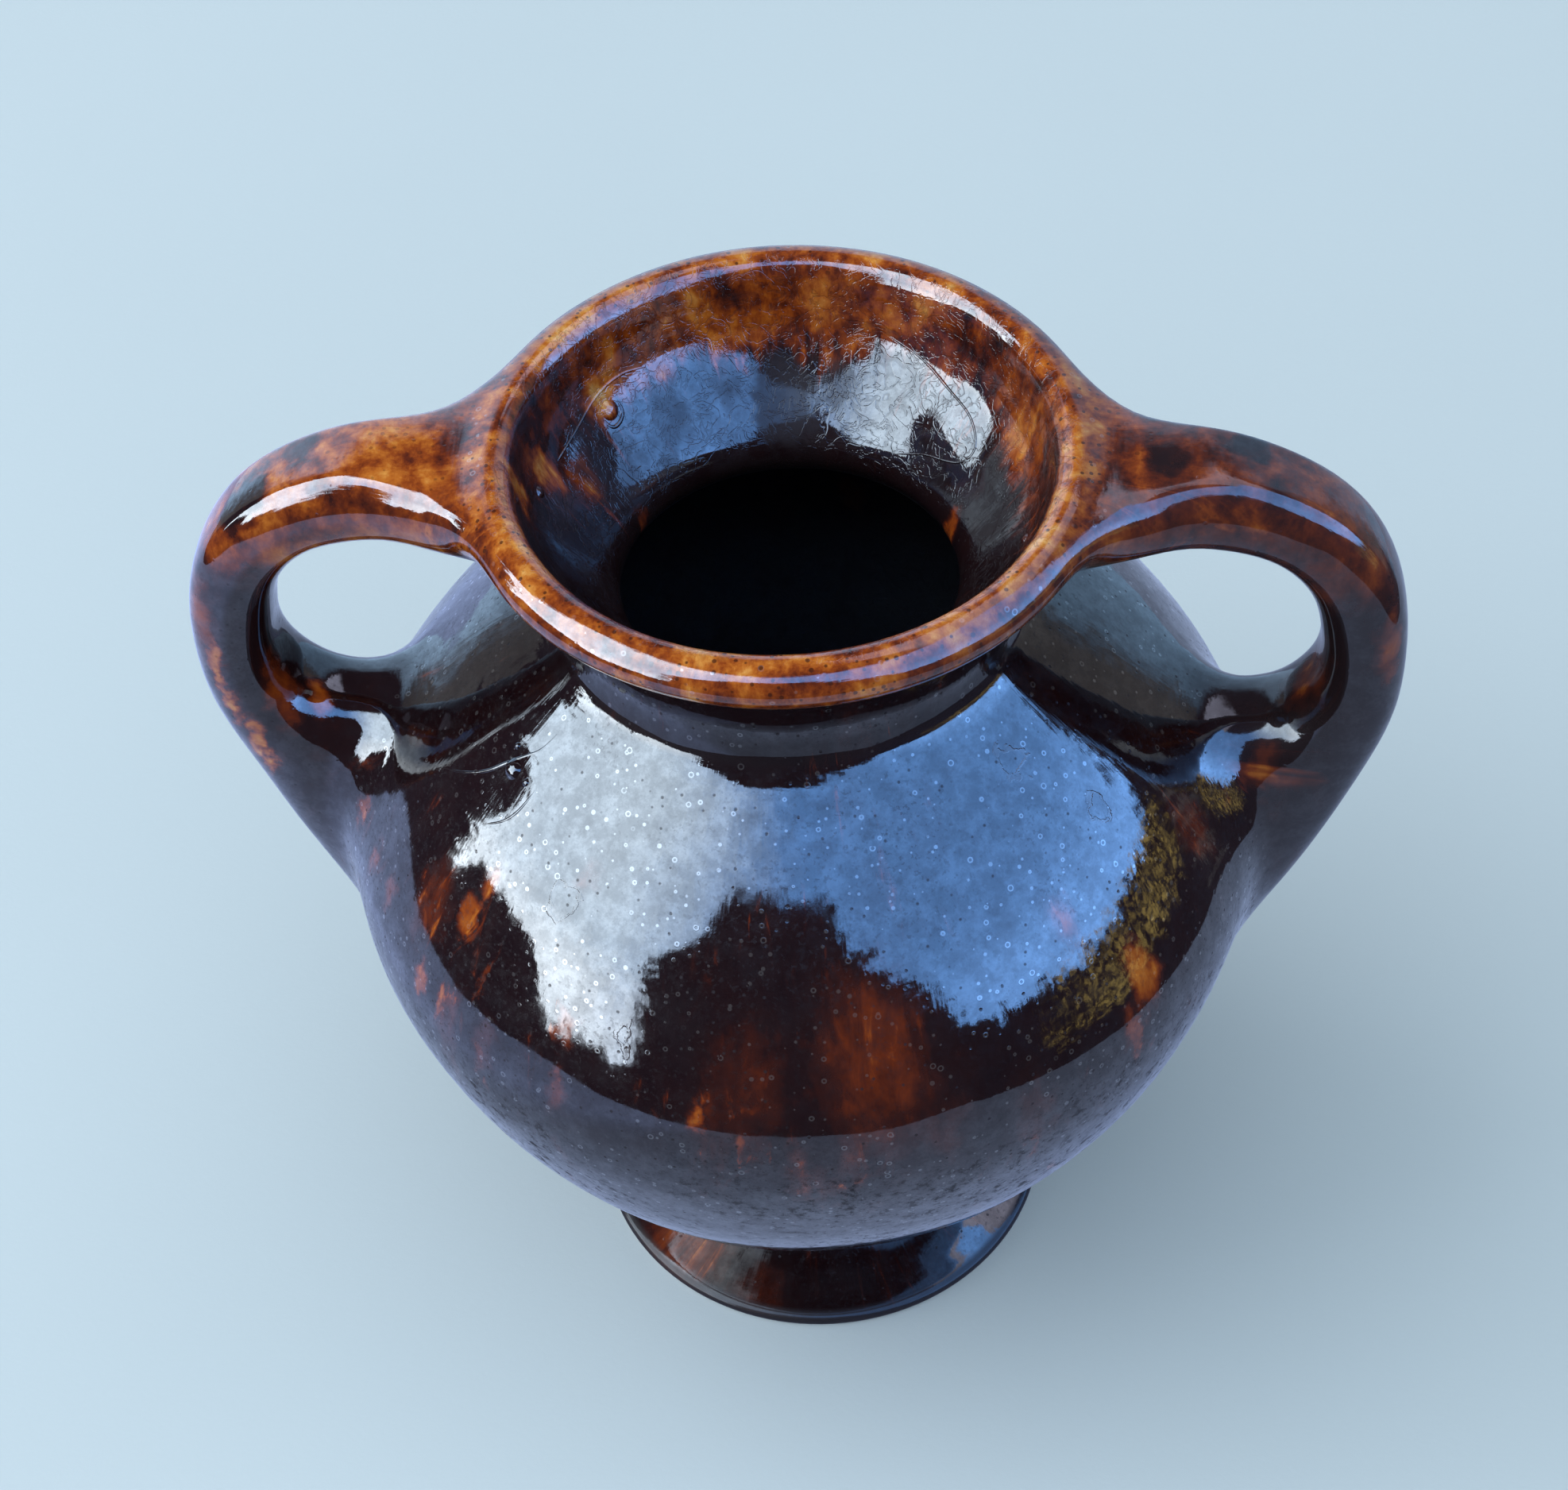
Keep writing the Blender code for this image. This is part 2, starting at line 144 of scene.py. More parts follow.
pot = {
    "sides": 32,
    "smoothing": 2,
    "underside": [
        (0.0, 15.6), (9.0, 15.6), (17.2, 15.0), (20.4, 11.6), (25.4, 6.4), (32.0, 2.5), (35.7, 0.7),
    ],
    "foot": [
        (37.4, 0.12), (39.8, 0.12), (40.9, 0.8), (40.9, 1.7), (40.0, 2.6), (37.0, 3.6),
        (32.4, 5.1), (28.1, 7.1), (24.9, 10.7), (23.7, 15.1),
    ],
    "bowl": [
        (24.3, 18.8), (26.6, 22.3), (31.1, 25.7), (38.1, 31.2), (45.9, 38.5), (53.7, 47.5),
        (60.6, 57.9), (65.3, 66.8), (69.0, 75.5), (71.85, 84.8), (73.7, 93.8),
    ],
    "shoulder": [
        (73.6, 103.4), (70.2, 113.3), (62.1, 126.2), (54.9, 134.4), (48.7, 140.3), (43.5, 144.5),
        (39.3, 147.8), (36.7, 150.7), (35.6, 154.4),
    ],
    "mouth": [
        (35.4, 158.8), (36.2, 163.2), (38.6, 167.7), (43.7, 172.2), (46.9, 176.2), (46.0, 179.6),
    ],
    "lipTop": (43.0, 181.3),
    "inside": [
        (40.4, 180.1), (39.2, 177.2), (38.5, 174.1), (37.3, 170.9), (35.7, 168.0), (33.6, 165.2),
        (31.3, 162.4), (28.9, 159.6), (26.6, 156.7), (25.4, 153.4), (26.6, 149.9), (31.2, 146.4),
        (37.8, 142.4), (44.6, 137.6), (52.2, 130.6), (60.6, 121.0), (67.5, 109.5), (70.1, 98.0),
        (68.0, 85.0), (62.6, 70.0), (54.2, 55.0), (44.0, 42.0), (33.2, 32.0), (23.9, 26.0),
        (12.0, 24.2), (0.0, 24.0),
    ],
}

outline = (pot["underside"] + pot["foot"] + pot["bowl"] + pot["shoulder"] + pot["mouth"]
           + [pot["lipTop"]] + pot["inside"])
shrink = (2 + math.cos(math.tau / pot["sides"])) / 3    # how far smoothing pulls a ring in
cage = cagePoints([(radius / shrink, height) for radius, height in outline], True)

vase = turnedPiece("glazed_vase", cage, pot["sides"], 0.02)
print("pot turned:", len(outline), "rings")


def ringOf(place):
    # number of the cage ring that a corner lies on
    radius = math.hypot(place.x, place.y) / mm
    height = place.z / mm
    return min(range(len(cage)), key=lambda k: math.hypot(cage[k][0] - radius, cage[k][1] - height))


def ringAt(radius, height):
    return min(range(len(outline)),
               key=lambda k: math.hypot(outline[k][0] - radius, outline[k][1] - height))


# the two handles: sections in mm as
# (outer point, inner point, half width, swell of the flanks, crispness of the shoulder)

handles = {
    "sides": 14,
    "squareness": 1.08,    # how far the four corners of a section stand out past an oval
    "shoulder": (0.30, 0.84),    # on the top run the outer corners move out and in by this
    "webLift": {1: -0.8, -1: 1.0},    # how far each crotch stands over the drawn sections, in mm
    "heelTuck": {1: 0.0, -1: 0.9},    # how far each heel is drawn in towards the belly, in mm
    "lipHole": {"low": (38.6, 167.7), "high": (46.0, 179.6), "columns": 2},
    "bellyHole": {"low": (69.0, 75.5), "high": (62.1, 126.2), "columns": 1},
    "sections": [
        ((52.4, 179.6), (50.6, 165.0), 12.4, 0.0, 0.5),
        ((58.9, 179.9), (57.1, 165.5), 9.5, 0.0, 0.9),
        ((66.5, 178.9), (63.9, 164.6), 8.6, 0.0, 1.0),
        ((74.8, 175.4), (70.1, 162.6), 8.3, 0.0, 1.0),
        ((82.9, 169.5), (74.9, 158.9), 8.3, 0.0, 0.8),
        ((89.3, 161.0), (78.4, 153.4), 8.4, 0.0, 0.4),
        ((92.8, 150.8), (80.2, 146.9), 8.6, 0.0, 0.1),
        ((93.95, 140.2), (80.9, 140.8), 8.7, 0.0, 0.0),
        ((93.6, 130.0), (80.2, 135.6), 9.2, 0.0, 0.0),
        ((91.2, 119.8), (78.2, 131.7), 9.6, 0.0, 0.0),
        ((87.6, 109.6), (75.4, 129.0), 10.2, 0.8, 0.0),
        ((83.3, 99.0), (72.0, 127.6), 10.8, 2.0, 0.0),
        ((78.8, 88.6), (68.2, 127.2), 11.2, 3.4, 0.0),
    ],
}


def holeTest(side, hole):
    # says whether a face lies in the patch of the pot that a handle grows from
    low = ringAt(*hole["low"])
    high = ringAt(*hole["high"])
    reach = hole["columns"] * math.tau / pot["sides"] + 0.02

    def inside(corner):
        turn = math.atan2(corner.co.y, corner.co.x * side)
        return abs(turn) < reach and low <= ringOf(corner.co) <= high
    return inside


def bridge(first, second):
    # first and second are sets of corner numbers, each a closed loop of edges
    def onLoop(edge):
        ends = {edge.verts[0].index, edge.verts[1].index}
        return len(edge.link_faces) < 2 and (ends <= first or ends <= second)
    pickEdges(vase, onLoop)
    bpy.ops.mesh.bridge_edge_loops()


openForEdit(vase)
for side in (1, -1):
    for hole in (handles["lipHole"], handles["bellyHole"]):
        inside = holeTest(side, hole)
        pickFaces(vase, lambda face: all(inside(corner) for corner in face.verts))
        bpy.ops.mesh.delete(type="FACE")
openForEdit(vase)    # closing and opening the mesh gives its corners lasting numbers

bpy.ops.object.vertex_group_add()
vase.vertex_groups[-1].name = "handle"
ringPull = (2 + math.cos(math.tau / handles["sides"])) / 3
for side in (1, -1):
    drawn = []
    for outer, inner, halfWidth, swell, crispness in handles["sections"]:
        low = clamped((146 - outer[1]) / 36)    # 0 on the upper handle, 1 at the heel
        tuck = handles["heelTuck"][side] * low
        lift = handles["webLift"][side] * low
        drawn.append(((outer[0] - tuck, outer[1]), (inner[0], inner[1] + lift), halfWidth, swell,
                      crispness))
    outerLine = cagePoints([section[0] for section in drawn], False)
    innerLine = cagePoints([section[1] for section in drawn], False)
    shape = bmesh.from_edit_mesh(vase.data)
    shape.verts.index_update()
    loops = []
    for hole in (handles["lipHole"], handles["bellyHole"]):
        inside = holeTest(side, hole)
        rim = [edge for edge in shape.edges if edge.is_boundary and all(map(inside, edge.verts))]
        loops.append({corner.index for edge in rim for corner in edge.verts})
    rings = []
    for (_, _, halfWidth, swell, crispness), outer, inner in zip(drawn, outerLine, innerLine):
        middle = Vector(((outer[0] + inner[0]) / 2 * side, 0, (outer[1] + inner[1]) / 2)) * mm
        reach = Vector(((outer[0] - inner[0]) / 2 * side, 0, (outer[1] - inner[1]) / 2)) * mm
        halfWidth = halfWidth * mm
        bpy.ops.mesh.select_mode(type="VERT")
        bpy.ops.mesh.select_all(action="DESELECT")
        bpy.ops.mesh.primitive_circle_add(
            vertices=handles["sides"], radius=1, rotation=(0, 0, -math.pi / 2))
        shape = bmesh.from_edit_mesh(vase.data)
        shape.verts.index_update()
        ring = {corner.index for corner in shape.verts if corner.select}
        pickCorners(vase, lambda corner: corner.index in ring
                    and min(abs(corner.co.x), abs(corner.co.y)) > 0.4)
        squareness = handles["squareness"]
        bpy.ops.transform.resize(value=(squareness, squareness, 1), center_override=(0, 0, 0))
        if crispness:    # a flat top with a tight edge, and flanks that lean out below it
            out, narrow = handles["shoulder"]
            pickCorners(vase, lambda corner: corner.index in ring and corner.co.x > 0.5
                        and abs(corner.co.y) > 0.6)
            bpy.ops.transform.translate(value=(out * crispness, 0, 0))
            bpy.ops.transform.resize(value=(1, 1 - (1 - narrow) * crispness, 1),
                                     center_override=(0, 0, 0))
        pickCorners(vase, lambda corner: corner.index in ring)
        bpy.ops.transform.resize(value=(reach.length / ringPull, halfWidth / ringPull, 1))
        bpy.ops.transform.rotate(
            value=math.atan2(reach.z, reach.x), orient_axis="Y", center_override=(0, 0, 0))
        bpy.ops.transform.translate(value=middle)
        bpy.ops.object.vertex_group_assign()
        if swell:    # the flanks swell clear of the belly
            pickCorners(vase, lambda corner: corner.index in ring
                        and abs(corner.co.y) > halfWidth * 0.6)
            outward = Vector((abs(reach.z), 0, abs(reach.x))).normalized() * swell * mm
            bpy.ops.transform.translate(value=(outward.x * side, 0, outward.z))
        rings.append(ring)
    chain = [loops[0]] + rings + [loops[1]]
    for first, second in zip(chain, chain[1:]):
        bridge(first, second)
bpy.ops.mesh.select_mode(type="VERT")
bpy.ops.mesh.select_all(action="SELECT")
bpy.ops.mesh.normals_make_consistent(inside=False)
bpy.ops.object.mode_set(mode="OBJECT")
print("handles joined:", len(vase.data.polygons), "cage faces")

rounding = vase.modifiers.new("rounding", "SUBSURF")
rounding.levels = rounding.render_levels = pot["smoothing"]
bpy.ops.object.modifier_apply(modifier="rounding")
bpy.ops.object.shade_smooth()
print("vase smoothed:", len(vase.data.polygons), "faces")

# the unevenness of a hand-made pot: waves that only go inwards, and a few thumbed places

unevenness = {
    "slow": (0.36, 30.0),    # depth and width in mm of the slow waves all over
    "quick": (0.30, 10.0),    # of the quicker waves on the wall of the mouth
    # thumbed hollows and swellings: (place in mm, reach, depth; below 0 it swells)
    "hollows": [((23.5, 21.5, 163.6), 8.5, -0.95), ((32.5, 11.0, 167.0), 6.0, -0.5),
                ((-31.0, 14.0, 167.0), 7.0, -0.5), ((-4.0, 32.0, 165.0), 8.0, 0.4),
                ((-42.5, -29.0, 137.8), 7.0, 0.3), ((25.0, -21.5, 5.0), 10.0, -0.8)],
}
places = [corner.co.copy() for corner in vase.data.vertices]
ways = [corner.normal.copy() for corner in vase.data.vertices]
for corner, place, way in zip(vase.data.vertices, places, ways):
    x, y, z = place / mm
    depth, width = unevenness["slow"]
    inwards = depth * (0.5 + 0.5 * noise.noise(place / mm / width)) * clamped((z - 3) / 6)
    if z > 150 and math.hypot(x, y) < 37.5:
        depth, width = unevenness["quick"]
        fade = clamped((177 - z) / 6)
        inwards += depth * (0.5 + 0.5 * noise.noise(place / mm / width + Vector((7, 3, 1)))) * fade
    for middle, reach, depth in unevenness["hollows"]:
        away = (Vector(middle) - place / mm).length / reach
        if away < 1 and (z > 20 or way.z > 0.3):    # never under the foot
            inwards += depth * (1 - away * away) ** 2 * clamped((z - 2.6) / 1.2)
    corner.co = place - way * inwards * mm
vase.data.update()

# beads and run edges in the glaze, each partly sunk, then joined to the pot

runMarks = {
    # raised edges: (points in mm near the surface, thickness in mm)
    "edges": [
        ([(-58.2, -17.0, 128.0), (-54.0, -20.5, 131.2), (-49.6, -24.0, 134.2),
          (-45.6, -26.0, 136.8), (-42.4, -26.2, 139.2), (-38.6, -26.6, 141.4),
          (-35.6, -26.8, 142.9), (-33.6, -25.4, 145.0)], 0.42),
        ([(-47.6, -32.2, 132.0), (-43.4, -34.0, 134.0), (-40.4, -34.2, 136.4),
          (-37.4, -32.6, 138.8), (-34.6, -30.4, 141.4)], 0.34),
        ([(-23.0, 28.5, 169.7), (-24.7, 27.4, 170.1), (-26.4, 26.1, 170.5), (-28.9, 23.1, 170.4),
          (-30.8, 19.9, 169.7), (-32.8, 14.8, 168.7), (-34.7, 9.0, 168.4)], 0.36),
        ([(14.2, 34.4, 170.8), (17.1, 32.6, 170.0), (19.8, 30.4, 169.2), (23.0, 26.7, 167.7),
          (25.5, 23.7, 167.1), (27.0, 21.2, 166.6), (27.7, 18.4, 165.4), (27.4, 16.3, 163.8),
          (25.3, 16.1, 161.6), (22.5, 18.0, 160.4), (20.0, 20.0, 159.7), (17.6, 21.2, 158.7),
          (15.1, 22.2, 157.7)], 0.30),
        ([(-26.4, 22.4, 168.4), (-25.6, 22.2, 166.9), (-26.2, 20.4, 165.6), (-27.6, 19.0, 165.6),
          (-28.8, 19.6, 166.8)], 0.50),
    ],
    # beads: (place in mm, radius, height)
    "beads": [((-41.0, -27.6, 139.6), 1.5, 0.8), ((-40.2, -24.6, 141.4), 0.5, 0.3),
              ((-38.6, -30.4, 139.8), 0.6, 0.3), ((-28.0, 21.1, 167.4), 1.5, 0.7),
              ((33.0, -5.0, 169.0), 0.8, 0.3), ((-36.2, 1.5, 169.5), 0.9, 0.35)],
    # side view of a bead, in shares of its radius and height
    "profile": [(0.0, 1.0), (0.45, 0.93), (0.8, 0.62), (1.0, 0.2), (1.25, -0.15), (1.4, -0.6),
                (0.0, -0.7)],
    "beadSides": 16,
    "sunk": 0.62,    # share of its thickness that an edge lies under the surface
}


def onSurface(point):
    # nearest place on the pot, and the way that its skin faces there
    return vase.closest_point_on_mesh(Vector(point) * mm)[1:3]


marks = []
for number, (points, thickness) in enumerate(runMarks["edges"]):
    nothingPicked()
    line = bpy.data.curves.new("glaze_edge_%d" % number, "CURVE")
    line.dimensions = "3D"
    line.bevel_depth = thickness * mm
    line.bevel_resolution = 2
    line.resolution_u = 6
    line.use_fill_caps = True
    spline = line.splines.new("NURBS")
    spline.points.add(len(points) - 1)
    spline.order_u = 3
    spline.use_endpoint_u = True
    for index, point in enumerate(points):
        place, way = onSurface(point)
        spline.points[index].co = (*(place - way * thickness * runMarks["sunk"] * mm), 1)
        spline.points[index].radius = 0.7 + 0.3 * math.sin(math.pi * index / (len(points) - 1))
    edge = bpy.data.objects.new(line.name, line)
    bpy.context.scene.collection.objects.link(edge)
    edge.select_set(True)
    bpy.context.view_layer.objects.active = edge
    bpy.ops.object.convert(target="MESH")
    marks.append(bpy.context.object)
for number, (point, radius, height) in enumerate(runMarks["beads"]):
    place, way = onSurface(point)
    profile = [(across * radius, up * height) for across, up in runMarks["profile"]]
    bead = turnedPiece("glaze_bead_%d" % number, profile, runMarks["beadSides"], 0.01)
    upright = way.to_track_quat("Z", "Y").to_matrix().to_4x4()
    bead.data.transform(Matrix.Translation(place) @ upright)
    marks.append(bead)
for mark in marks:
    openForEdit(mark)
    bpy.ops.mesh.select_all(action="SELECT")
    bpy.ops.mesh.normals_make_consistent(inside=False)
    bpy.ops.object.mode_set(mode="OBJECT")
nothingPicked()
for mark in marks:
    mark.select_set(True)
vase.select_set(True)
bpy.context.view_layer.objects.active = vase
bpy.ops.object.join()
bpy.ops.object.shade_smooth()
print("run edges and beads joined:", len(marks))

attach(vase, "root")
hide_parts("foot", "lower_bowl", "shoulder", "mouth", "left_handle", "right_handle")

# writing shaders as sums

class Wire:
    # wraps one socket, so that shader maths can be written as Python sums
    def __init__(self, tree, socket=None):
        self.tree = tree
        self.socket = socket

    def node(self, kind, settings=None, values=None, out=0):
        made = self.tree.nodes.new(kind)
        for name, setting in (settings or {}).items():
            if name == "stops":
                ramp = made.color_ramp
                while len(ramp.elements) < len(setting):
                    ramp.elements.new(0.5)
                for stop, (place, color) in zip(ramp.elements, setting):
                    stop.position = place
                    stop.color = (*color, 1)
            else:
                setattr(made, name, setting)
        for name, value in (values or {}).items():
            if isinstance(value, Wire):
                self.tree.links.new(value.socket, made.inputs[name])
            else:
                made.inputs[name].default_value = value
        if isinstance(out, tuple):
            return [Wire(self.tree, made.outputs[name]) for name in out]
        return Wire(self.tree, made.outputs[out] if len(made.outputs) else None)

    def sum(self, operation, *parts):
        return self.node("ShaderNodeMath", {"operation": operation}, dict(enumerate(parts)))

    def __add__(self, other):
        return self.sum("ADD", self, other)

    def __radd__(self, other):
        return self.sum("ADD", other, self)

    def __sub__(self, other):
        return self.sum("SUBTRACT", self, other)

    def __rsub__(self, other):
        return self.sum("SUBTRACT", other, self)

    def __mul__(self, other):
        return self.sum("MULTIPLY", self, other)

    def __rmul__(self, other):
        return self.sum("MULTIPLY", other, self)

    def __truediv__(self, other):
        return self.sum("DIVIDE", self, other)

    def __abs__(self):
        return self.sum("ABSOLUTE", self)


def newFinish(name):
    # an empty material, and the wire that adds nodes to it
    finish = bpy.data.materials.new(name)
    finish.use_nodes = True
    finish.node_tree.nodes.clear()
    return finish, Wire(finish.node_tree)


def rise(value, low, high):
    # 0 below low, 1 above high, smooth between; low over high turns it round
    down = low > high
    if down:
        low, high = high, low
    step = value.node("ShaderNodeMapRange", {"interpolation_type": "SMOOTHSTEP"},
                      {"Value": value, "From Min": low, "From Max": high})
    return 1 - step if down else step


def blend(amount, first, second):
    return amount.node("ShaderNodeMix", {"data_type": "RGBA"},
                       {0: amount, 6: first, 7: second}, out=2)


def tint(red, green, blue):
    return (red, green, blue, 1)


def stretched(place, across, along):
    # noise coordinates: sideways and upright scales, per metre
    return place.node("ShaderNodeVectorMath", {"operation": "MULTIPLY"},
                      {0: place, 1: (across, across, along)})


def cloud(place, scale, detail=3, roughness=0.55, distortion=0.0):
    return place.node("ShaderNodeTexNoise", {}, {
        "Vector": place, "Scale": scale, "Detail": detail, "Roughness": roughness,
        "Distortion": distortion})


def largest(first, second):
    return first.sum("MAXIMUM", first, second)


# the glaze: dark brown, run in streaks, amber where it is thin over the clay

for name in ("handlePart", "innerWall"):
    vase.data.attributes.new(name, "FLOAT", "POINT")
group = vase.vertex_groups["handle"].index


def radiusAt(corners, height):
    # radius of a profile at a height, between its drawn corners
    for (r1, z1), (r2, z2) in zip(corners, corners[1:]):
        if min(z1, z2) <= height <= max(z1, z2) and z1 != z2:
            return r1 + (r2 - r1) * (height - z1) / (z2 - z1)
    return 0.0


outerSide = pot["foot"][5:] + pot["bowl"] + pot["shoulder"] + pot["mouth"]
for corner in vase.data.vertices:
    x, y, z = corner.co / mm
    onHandle = sum(entry.weight for entry in corner.groups if entry.group == group)
    wallMiddle = (radiusAt(outerSide, z) + radiusAt(pot["inside"], z)) / 2
    if z > 176:
        within = clamped((43.0 - math.hypot(x, y)) / 2 + 0.5)
    else:
        within = 1.0 if z > 23.5 and math.hypot(x, y) < wallMiddle else 0.0
    vase.data.attributes["handlePart"].data[corner.index].value = onHandle
    vase.data.attributes["innerWall"].data[corner.index].value = within * (1 - onHandle)

glazing = {
    "body": [(0.0, (0.006, 0.003, 0.005)), (0.20, (0.014, 0.0045, 0.005)),
             (0.32, (0.045, 0.009, 0.005)), (0.44, (0.135, 0.023, 0.005)),
             (0.56, (0.28, 0.058, 0.007)), (0.70, (0.47, 0.140, 0.017)),
             (0.84, (0.62, 0.27, 0.055)), (1.0, (0.76, 0.46, 0.16))],
    "clay": (0.42, 0.25, 0.14),
    "gloss": 0.035,
    "glassiness": 1.6,    # index of refraction of the glaze
    "streakWidth": 9.0,    # mm
    "mottle": 4.6,         # mm
    "neckRing": 153.0,     # height in mm of the dull ring under the mouth
    "dotsPerMetre": 780,    # brown dots on the lip
    "bubblesPerMetre": 640,
    "spotShake": 5.0,      # mm from side to side that the edges of placed marks wander
    "spotStretch": 0.34,    # heights count this much in a mark's size, so marks stand tall
    "flowRadius": 60.0,    # mm: the runs are laid out on a drum of this radius
    # where the glaze ran thin: (place in mm, size across, strength)
    "spots": [
        ((54.4, -44.5, 113.5), 5.5, 0.50), ((53.0, -49.5, 106.5), 3.5, 0.36),
        ((-11.9, -70.5, 110.6), 2.0, 0.36), ((-28.0, -45.5, 136.0), 3.4, 0.26),
        ((-56.4, -44.6, 109.5), 2.8, 0.44), ((-47.5, -42.8, 123.5), 3.4, 0.40),
        ((-43.5, -41.0, 129.0), 2.8, 0.34), ((-66.5, -23.8, 112.6), 3.2, 0.34),
        ((-31.8, -59.3, 118.4), 3.2, 0.38), ((14.5, -64.8, 117.8), 15.0, 0.27),
        ((-4.0, -67.0, 113.0), 11.0, 0.20), ((-54.0, -38.0, 120.0), 8.0, 0.24),
        ((42.1, -44.8, 127.0), 5.0, 0.22), ((61.8, -21.6, 121.4), 7.0, 0.26),
        ((-62.8, -30.7, 113.4), 3.0, 0.30), ((-52.4, -50.8, 105.7), 5.0, 0.20),
        ((-45.2, -55.9, 109.0), 4.0, 0.20), ((-33.6, -64.4, 107.0), 3.0, 0.24),
        ((37.9, -62.8, 103.4), 6.0, 0.16), ((2.6, -73.6, 101.2), 4.0, 0.16),
        ((80.5, -1.5, 137.0), 7.0, 0.24), ((-80.5, -6.5, 133.0), 4.5, 0.26),
        ((-89.3, -8.5, 142.0), 2.4, 0.46), ((-86.0, -9.3, 124.2), 2.6, 0.46),
        ((-88.9, -8.8, 136.4), 1.8, 0.40), ((-88.2, -9.1, 131.5), 2.4, 0.48),
        ((-90.6, -7.0, 149.0), 5.0, 0.24), ((-84.0, -9.0, 119.0), 2.0, 0.40),
        ((-33.3, -62.9, 111.2), 2.2, 0.36), ((-46.8, -56.3, 105.3), 2.6, 0.24),
        ((23.7, -67.1, 111.3), 9.0, 0.17), ((24.0, 9.5, 154.6), 3.0, 0.42),
        ((-23.5, 11.0, 154.6), 2.4, 0.32),
        ((-31.5, 9.0, 165.0), 5.0, 0.40), ((-36.0, 6.0, 170.5), 4.0, 0.44),
        ((-30.0, 22.0, 168.0), 4.0, 0.34),
        ((33.5, 12.0, 170.0), 5.0, 0.24), ((-39.0, -4.0, 174.0), 3.5, 0.40),
        ((-69.4, -15.2, 113.9), 2.6, 0.36), ((-75.8, -4.6, 128.7), 3.0, 0.34),
        ((73.3, -8.4, 121.2), 3.4, 0.2), ((90.6, -7.5, 148.0), 4.0, 0.30),
        ((-8.0, 33.0, 170.0), 2.2, 0.30), ((40.0, 56.0, 112.0), 4.0, 0.40),
        ((-30.0, 62.0, 118.0), 3.4, 0.42), ((5.0, 70.0, 104.0), 4.5, 0.38),
        ((-24.0, -27.0, 4.0), 15.0, 0.32), ((-10.0, -36.0, 3.0), 9.0, 0.2),
    ],
    # where it pooled thick and dark
    "pools": [((-80.5, -3.0, 171.5), 5.5, 0.8), ((-72.0, 3.0, 176.0), 3.5, 0.4),
              ((55.5, -1.0, 180.0), 4.5, 0.5), ((68.0, 2.5, 178.0), 4.0, 0.5),
              ((23.5, -54.4, 129.4), 5.0, 0.3)],
    # where the glaze is dull: (place in mm, size across, strength)
    "hazes": [((-29.0, 14.5, 163.0), 7.5, 0.62), ((-20.0, 25.0, 162.0), 3.5, 0.5),
              ((6.0, 31.5, 163.5), 4.0, 0.6), ((30.5, 12.0, 162.0), 4.0, 0.4),
               ((-2.5, 30.5, 162.0), 6.5, 0.8)],
    # thin outlines left by burst blisters: (place in mm, radius)
    "blisters": [((-31.7, -46.7, 132.9), 2.3), ((34.1, -27.9, 144.1), 2.4),
                 ((47.2, -28.5, 134.1), 1.9), ((-22.0, -62.0, 119.0), 1.2)],
}

glaze, brush = newFinish("brown_run_glaze")
place = brush.node("ShaderNodeTexCoord", out="Object")
x, y, z = [part * 1000 for part in place.node(
    "ShaderNodeSeparateXYZ", {}, {"Vector": place}, out=("X", "Y", "Z"))]
squared = x * x + y * y
radius = squared.sum("SQRT", squared)
onHandle = brush.node("ShaderNodeAttribute", {"attribute_name": "handlePart"}, out="Fac")
inner = brush.node("ShaderNodeAttribute", {"attribute_name": "innerWall"}, out="Fac")

# a direction round the pot and the height give coordinates that follow the way the glaze ran
drum = glazing["flowRadius"]
flow = brush.node("ShaderNodeCombineXYZ", {}, {
    "X": x / radius * drum * mm, "Y": y / radius * drum * mm, "Z": z * mm})
streaks = cloud(stretched(flow, 1.0, 0.28), 1000 / glazing["streakWidth"], 4, 0.6, 0.4)
runs = cloud(stretched(flow, 1.0, 0.34), 330, 4, 0.62, 0.5)
patches = cloud(place, 32, 3, 0.5)
mottle = cloud(stretched(place, 1.0, 0.75), 1000 / glazing["mottle"], 5, 0.64, 0.15)
grain = cloud(place, 900, 2, 0.6)

lip = rise(z, 168.5, 173.0) * (1 - inner) * (1 - onHandle * 0.5)
crown = rise(z, 177.0, 180.6) * (1 - onHandle)
# on the wall inside the mouth the amber is strongest at the back and fades to under a third of that towards
# the front
flare = (rise(z + (patches - 0.5) * 30 + (runs - 0.5) * 14, 163.5, 171.0) * inner
         * (0.3 + 0.7 * rise(y, -16.0, 10.0)))
handleTop = onHandle * rise(z + (patches - 0.5) * 20, 150.0, 166.0)
handleTop = handleTop * (1 - 0.3 * rise(abs(y), 6.5, 8.5)) * (1 - 0.42 * rise(x, 44.0, 56.0))
thin = largest(largest(lip * 0.64, crown * 0.80),
               largest(flare * (0.5 + 0.14 * rise(y, 16.0, 34.0)), handleTop * 0.64))
onBody = 1 - thin
spread = (mottle - 0.5) * 1.9

# coordinates in mm for marks placed one by one, with wandering edges
shake, stretch = glazing["spotShake"], glazing["spotStretch"]
wander = brush.node("ShaderNodeTexNoise", {}, {"Vector": place, "Scale": 300, "Detail": 4},
                    out="Color")
flattened = place.node("ShaderNodeVectorMath", {"operation": "MULTIPLY_ADD"}, {
    0: place, 1: (1000, 1000, 1000 * stretch), 2: [-shake / 2] * 3})
shaken = place.node("ShaderNodeVectorMath", {"operation": "MULTIPLY_ADD"}, {
    0: wander, 1: [shake] * 3, 2: flattened})


def distanceTo(spot):
    return shaken.node("ShaderNodeVectorMath", {"operation": "DISTANCE"}, {
        0: shaken, 1: (spot[0], spot[1], spot[2] * stretch)}, out="Value")


